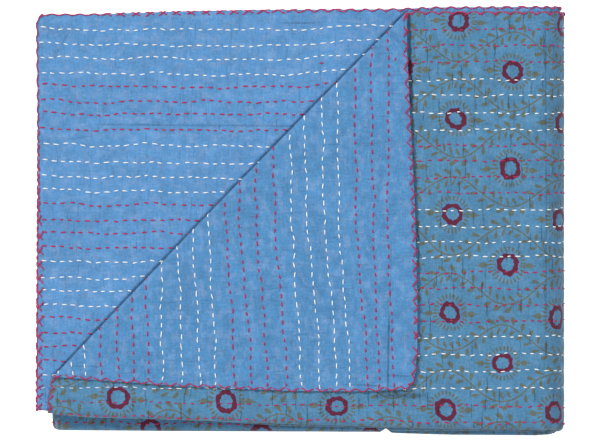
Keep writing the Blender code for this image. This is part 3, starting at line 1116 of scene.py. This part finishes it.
BACK_NET = (
    # as the printed face's
    ((0.290, 0.0044), 0.024, 0.024, (0.0046, 0.0030)),
    ((0.300, 0.0031), 0.018, 0.0031, (0.0016, 0.0008)),
)
back = make_panel("plain_back", -1, flat_net(*BACK_NET), make_plain_cotton())
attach(back, "root")
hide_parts("plain_back_panel")

# Running stitches. Soft embroidery cotton, white and magenta in turn every four rows, sewn by hand
# through both panels. Each stitch is a short hump of thread whose ends go down into the cloth.

STITCH_STEP = 0.0064  # from one stitch to the next on the same side
STITCH_ON_BACK = 0.60  # the share of a step that shows on the plain side; the rest is on the print
STITCH_HALF_WIDTH = 0.00049
STITCH_RISE = 0.00045
STITCH_STATIONS = (-0.86, -0.42, 0.42, 0.86)  # along the hump, in half lengths
STITCH_SIDES = 5
HUMP_CLOSES = 0.97
HUMP_RISE = 0.75  # of its middle, in thread radii
FIRST_STITCH = 0.0012  # from the edge, at the least
FIRST_STITCH_VARIES = 0.003
STEP_VARIES = (0.86, 1.16)
SHARE_VARIES = 0.09
LONGER_ON_PRINT = 1.28
ROW_SCATTER = 0.00022
LEAN_SCATTER = 0.10  # radians
STITCH_CLEAR = 0.0018  # of the edge
STITCHES_END = 0.006  # before the right edge
THREADS = {
    # name: (colour, how much fatter than a white one)
    "white": ((0.86, 0.86, 0.83), 1.0),
    "magenta": ((0.390, 0.011, 0.092), 1.28),
}
STRAYS = (
    # thread, sheet, place along and down, half length: a knot and a stitch between the rows
    ("magenta", "flap", 0.2618, 0.0350, 0.0010),
    ("magenta", "second", 0.2077, 0.0372, 0.0017),
)
PAST_FOLD = 0.001  # no stitch shows nearer to the corner's fold, on the way up to it
UNDER_FOLD = 0.012  # and under the corner they go on so far
ROUND_BEND = 0.014  # stitches go on so far to either side of where a bend starts
stitch_dice = np.random.default_rng(7)


def shown_on_print(x, y):
    """True where the printed face is to be seen: the top, the underside and the outer bends."""
    quarter = FOLDS["width_quarter"]
    half = FOLDS["length_half"]
    front = quarter[1] + pi * radius_of(quarter[2])
    top = (x < half[1] + pi * radius_of(half[2])) & (y < front)
    turned = (past_crease(x, y) > PAST_FOLD) & (x < FOLDS["length_quarter"][1]) & (y < quarter[1])
    front_bend = (y > quarter[1] - ROUND_BEND) & (y < front + 0.006)
    back_bend = np.abs(y - FOLDS["width_half"][1]) < ROUND_BEND
    return (top & ~turned) | front_bend | back_bend


def shown_on_plain(x, y):
    """True where the plain back is to be seen: the turned-back corner and the layer beside it."""
    turned = (past_crease(x, y) > PAST_FOLD) & (x < FOLDS["length_quarter"][1])
    corner = turned & (y < FOLDS["width_quarter"][1])
    down = far_line() - y
    beside = (past_crease(x, down) > -UNDER_FOLD) & (down < FOLDS["width_quarter"][1] + 0.01)
    return corner | (beside & (x < FOLDS["length_quarter"][1]))


def sew_rows(thread, side):
    """Middle, half length and lean of every stitch of one thread that shows on one side."""
    found = []
    for number, (colour, places) in enumerate(ROWS):
        if colour != thread:
            continue
        steps = STITCH_STEP * stitch_dice.uniform(*STEP_VARIES, int(LENGTH / STITCH_STEP * 1.05))
        first = FIRST_STITCH + stitch_dice.uniform(0.0, FIRST_STITCH_VARIES)
        first = first + read_table(places[0], LEFT_EDGE)
        starts = first + np.cumsum(steps) - steps
        share = STITCH_ON_BACK + stitch_dice.uniform(-SHARE_VARIES, SHARE_VARIES, len(steps))
        on_back = steps * share
        if side < 0:
            middle, long = starts + on_back / 2, on_back
        else:
            middle, long = starts + (on_back + steps) / 2, (steps - on_back) * LONGER_ON_PRINT
        y = row_line(number, middle) + stitch_dice.normal(0.0, ROW_SCATTER, len(steps))
        slope = (row_line(number, middle + 0.001) - row_line(number, middle - 0.001)) / 0.002
        lean = np.arctan(slope) + stitch_dice.normal(0.0, LEAN_SCATTER, len(steps))
        shown = shown_on_plain(middle, y) if side < 0 else shown_on_print(middle, y)
        shown &= (edge_distance(middle, y) > STITCH_CLEAR) & (middle < LENGTH - STITCHES_END)
        found.append(np.stack((middle, y, long / 2, lean), axis=1)[shown])
    for name, sheet, *place, half_long in STRAYS:
        if name == thread and side < 0:
            found.append(np.array([(*unfold(sheet, *place), half_long, 0.0)]))
    return np.concatenate(found)


def quads_between(rings):
    """Quads from each ring of point numbers to the next. The last two axes are ring and side."""
    onward = np.roll(rings, -1, axis=-1)
    corners = (rings[..., :-1, :], onward[..., :-1, :], onward[..., 1:, :], rings[..., 1:, :])
    return np.stack(corners, axis=-1).reshape(-1, 4)


def thread_humps(sewn, side, fatter):
    """Points and faces of the humps. At station t, from -1 to 1 along a hump, its ring is an ellipse
    that narrows as the root of 1 - t^2, all but closed at the ends. Its middle rises as 1 - 1.5 t^4,
    so that both ends lie under the cloth's face."""
    middle_x, middle_y, half_long, lean = (column[:, None, None] for column in sewn.T)
    stations = np.array((-1.0, *STITCH_STATIONS, 1.0))[None, :, None]
    turn = (np.arange(STITCH_SIDES) * 2 * pi / STITCH_SIDES)[None, None, :]
    girth = np.sqrt(1.0 - HUMP_CLOSES * stations**2)
    along = half_long * stations * np.ones_like(turn)
    aside = STITCH_HALF_WIDTH * fatter * girth * np.cos(turn)
    x = middle_x + along * np.cos(lean) - aside * np.sin(lean)
    y = middle_y + along * np.sin(lean) + aside * np.cos(lean)
    rise = STITCH_RISE * (girth * np.sin(turn) + HUMP_RISE * (1.0 - 1.5 * stations**4))
    base = skin_height(sewn[:, 0], sewn[:, 1])[:, None, None]
    placed = lay(x.ravel(), y.ravel(), (side * (base + rise)).ravel())
    count, rings = len(sewn), stations.size
    number = np.arange(count * rings * STITCH_SIDES).reshape(count, rings, STITCH_SIDES)
    return placed, quads_between(number), number[:, 0][:, ::-1], number[:, -1]


def make_thread_material(name, colour):
    """Soft twisted cotton thread: a fine twist in its bump and a little unevenness of dye."""
    material, tree, surface = start_material(name, 0.78, 0.3, 0.15)
    place = tree.nodes.new("ShaderNodeTexCoord").outputs["Object"]
    grain = add_noise(tree, place, 900.0, 2.0)
    darker = tuple(0.72 * part for part in colour)
    tree.links.new(mix_colour(tree, grain.socket, darker, tuple(1.12 * part for part in colour)),
                   surface.inputs["Base Color"])
    bump = add_bump(tree, add_noise(tree, place, 2600.0, 1.0).socket, 0.0002, 0.5)
    tree.links.new(bump.outputs[0], surface.inputs["Normal"])
    return material


def make_thread_mesh(name, parts):
    """One mesh of many threads. parts are (points, quads, caps at one end, caps at the other)."""
    points, faces, first = [], [], 0
    for placed, *sets in parts:
        points.append(placed)
        faces += [face for corners in sets for face in (corners + first).tolist()]
        first += len(placed)
    points = np.concatenate(points)
    points[:, 2] = np.maximum(points[:, 2], 0.0)
    mesh = bpy.data.meshes.new(name)
    mesh.from_pydata(points.tolist(), [], faces)
    mesh.shade_smooth()
    return mesh


materials = {}
for thread, (colour, fatter) in THREADS.items():
    materials[thread] = make_thread_material(f"{thread}_thread", colour)
    parts = []
    for side in (1, -1):
        placed, quads, near_caps, far_caps = thread_humps(sew_rows(thread, side), side, fatter)
        if side < 0:
            quads, near_caps, far_caps = quads[:, ::-1], near_caps[:, ::-1], far_caps[:, ::-1]
        parts.append((placed, quads, near_caps, far_caps))
    piece = add_object(f"{thread}_running_stitches", make_thread_mesh(thread, parts), materials[thread])
    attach(piece, "root")

# Edge stitching. The same magenta thread, overcast round the turned-in edge and then worked back,
# so that the two passes cross or meet in a zigzag on both sides.

OVERCAST_PITCH = 0.0104
OVERCAST_DEPTHS = (
    # place round the outline, clockwise from the corner; how far inside it the needle goes through
    (0.000, 0.0018),
    (0.012, 0.0026),
    (0.250, 0.0026),
    (0.275, 0.0016),
    (0.400, 0.0016),
    (0.500, 0.0025),
    (3.900, 0.0025),
    (4.000, 0.0014),
    (4.170, 0.0015),
    (4.230, 0.0022),
    (4.300, 0.0021),
    (4.330, 0.0008),
    (4.372, 0.0006),
    (4.520, 0.0007),
    (4.535, 0.0030),
    (4.680, 0.0030),
    (5.300, 0.0022),
    (5.604, 0.0020),
)
OVERCAST_PROUD = 0.0003  # how far outside it the thread passes
OVERCAST_THICK = 0.00052  # the thread's radius
OVERCAST_SITS = 0.55  # its middle lies this part of that over the cloth
OVERCAST_STEPS = 15  # points in one turn
OVERCAST_SIDES = 5
OVERCAST_SHOULDERS = 2.6  # how squarely it turns from face to back
SECOND_PASS_RISE = 0.00022  # the second pass lies this much over the first
OVERCAST_VARIES = (
    # how much, how often round the outline: twice the slip, the swing, the depth
    (0.45, 23),
    (0.35, 97),
    (0.25, 143),
    (0.24, 83),
)
OVERCAST_SLIPS = (
    # place round the outline; how far the second pass lags there, in radians
    (0.000, 0.4),
    (0.026, 0.3),
    (0.034, 2.6),
    (0.052, 2.4),
    (0.060, 0.2),
    (0.225, -0.3),
    (0.250, 1.7),
    (0.268, 2.2),
    (0.300, 1.4),
    (0.500, 0.6),
    (1.400, -0.8),
    (2.800, 1.0),
    (4.100, 0.1),
    (4.200, 0.3),
    (4.225, 1.8),
    (4.310, 2.0),
    (4.330, 0.3),
    (4.520, 0.4),
    (4.540, 1.9),
    (4.680, 2.1),
    (4.750, 0.5),
    (5.340, 1.9),
    (5.380, 0.2),
    (5.604, 0.4),
)


def edge_place(run, inside):
    """The flat place so far round the outline and so far inside it, clockwise from the corner."""
    ends = np.cumsum((LENGTH, WIDTH, LENGTH))
    sides = [run < end for end in ends]
    u = np.select(sides, [run, LENGTH - inside, LENGTH - (run - ends[1])], inside)
    v = np.select(sides, [inside, run - ends[0], WIDTH - inside], WIDTH - (run - ends[2]))
    return np.clip(u, inside, LENGTH - inside), np.clip(v, inside, WIDTH - inside)


def overcast(way):
    """One pass of overcasting as a closed tube. In a turn, its inset runs in and out as a rounded
    wave, while its height is a square-shouldered sine from face to back."""
    around = 2 * (LENGTH + WIDTH)
    turns = round(around / OVERCAST_PITCH)
    count = turns * OVERCAST_STEPS
    share = np.arange(count) / count
    run = around * share
    dice = np.random.default_rng(20 + way)
    waves = dice.uniform(0.0, 2 * pi, 3)
    slow, quick, sway, uneven = (
        size * np.sin(2 * pi * share * often + waves[wave])
        for (size, often), wave in zip(OVERCAST_VARIES, (1, 0, 2, 2))
    )
    slip = slow + quick + (read_table(run, OVERCAST_SLIPS) if way < 0 else 0.0)
    phase = 2 * pi * turns * share * way + slip
    swing = np.cos(phase + sway)
    deep = read_table(run, OVERCAST_DEPTHS) * (1.0 + uneven)
    inside = -OVERCAST_PROUD + (deep + OVERCAST_PROUD) * (1.0 + swing) / 2
    u, v = edge_place(run, inside)
    x, y = hand_cut(u, v)
    lift = skin_height(x, y) + OVERCAST_THICK * OVERCAST_SITS + (SECOND_PASS_RISE if way < 0 else 0.0)
    h = lift * np.tanh(OVERCAST_SHOULDERS * np.sin(phase)) / np.tanh(OVERCAST_SHOULDERS)
    line = np.stack((x, y, h), axis=1)
    ahead = np.roll(line, -1, axis=0) - np.roll(line, 1, axis=0)
    ahead = ahead / np.linalg.norm(ahead, axis=1, keepdims=True)
    upward = np.array((0.0, 0.0, 1.0)) - ahead * ahead[:, 2:]
    flat = np.linalg.norm(upward, axis=1, keepdims=True)
    upward = upward / np.maximum(flat, 1e-6)
    sideways = np.cross(ahead, upward)
    turn = np.arange(OVERCAST_SIDES) * 2 * pi / OVERCAST_SIDES
    ring = sideways[:, None] * np.cos(turn)[None, :, None] + upward[:, None] * np.sin(turn)[None, :, None]
    tube = (line[:, None] + ring * OVERCAST_THICK).reshape(-1, 3)
    number = np.arange(count * OVERCAST_SIDES).reshape(count, OVERCAST_SIDES)
    return lay(*tube.T), quads_between(np.concatenate((number, number[:1])))


edging = add_object(
    "magenta_edge_stitching",
    make_thread_mesh("overcast", [overcast(1), overcast(-1)]),
    materials["magenta"],
)
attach(edging, "root")

# The table, the lights and the camera. A plain white table in an evenly white room, with a soft
# lamp to either side, lower right and upper left. The camera looks straight down from high up.

FLOOR_HALF = 3.0
FLOOR_WHITE = 0.96
FLOOR_GLOW = 0.65  # so that the table stays white to the camera, as an overexposed sheet does
ROOM_LIGHT = 0.50
LAMPS = (
    # name, the direction it shines from, strength
    ("near_lamp", (0.46, -0.40, 1.00), 1.20),
    ("far_lamp", (-0.72, 0.50, 0.78), 2.70),
)
LAMP_SPREAD = 9.0  # degrees
METRES_ACROSS = 0.438  # what the camera takes in at the height of the top layer
VIEW_MIDDLE = (-0.00043, -0.00020)
CAMERA_HEIGHT = 8.0
SENSOR = 36.0
TOP_OF_PACKET = (LAYERS - 1) * PITCH + 2 * OUTER_FACE


def make_floor():
    """One large white square."""
    mesh = bpy.data.meshes.new("table_top")
    s = FLOOR_HALF
    corners = [(x, y, -0.0001) for x, y in ((-s, -s), (s, -s), (s, s), (-s, s))]
    mesh.from_pydata(corners, [], [(0, 1, 2, 3)])
    material, tree, surface = start_material("table_white", 0.9, 0.1)
    surface.inputs["Base Color"].default_value = (FLOOR_WHITE, FLOOR_WHITE, FLOOR_WHITE, 1.0)
    surface.inputs["Emission Color"].default_value = (1.0, 1.0, 1.0, 1.0)
    seen = Sum(tree, tree.nodes.new("ShaderNodeLightPath").outputs["Is Camera Ray"]) * FLOOR_GLOW
    tree.links.new(seen.socket, surface.inputs["Emission Strength"])
    return add_object("table_top", mesh, material)


make_floor()
world = bpy.data.worlds.new("white_room")
bpy.context.scene.world = world
world.use_nodes = True
world.node_tree.nodes["Background"].inputs["Color"].default_value = (1.0, 1.0, 1.0, 1.0)
world.node_tree.nodes["Background"].inputs["Strength"].default_value = ROOM_LIGHT
bpy.context.scene.view_settings.view_transform = "Standard"

for name, shines_from, strength in LAMPS:
    lamp_data = bpy.data.lights.new(name, "SUN")
    lamp_data.energy = strength
    lamp_data.angle = radians(LAMP_SPREAD)
    lamp = bpy.data.objects.new(name, lamp_data)
    bpy.context.scene.collection.objects.link(lamp)
    lamp.location = shines_from
    lamp.rotation_euler = lamp.location.copy().to_track_quat("Z", "Y").to_euler()

camera_data = bpy.data.cameras.new("camera")
camera_data.sensor_width = SENSOR
camera_data.lens = SENSOR * (CAMERA_HEIGHT - TOP_OF_PACKET) / METRES_ACROSS
camera = bpy.data.objects.new("camera", camera_data)
bpy.context.scene.collection.objects.link(camera)
camera.location = (*VIEW_MIDDLE, CAMERA_HEIGHT)
bpy.context.scene.camera = camera
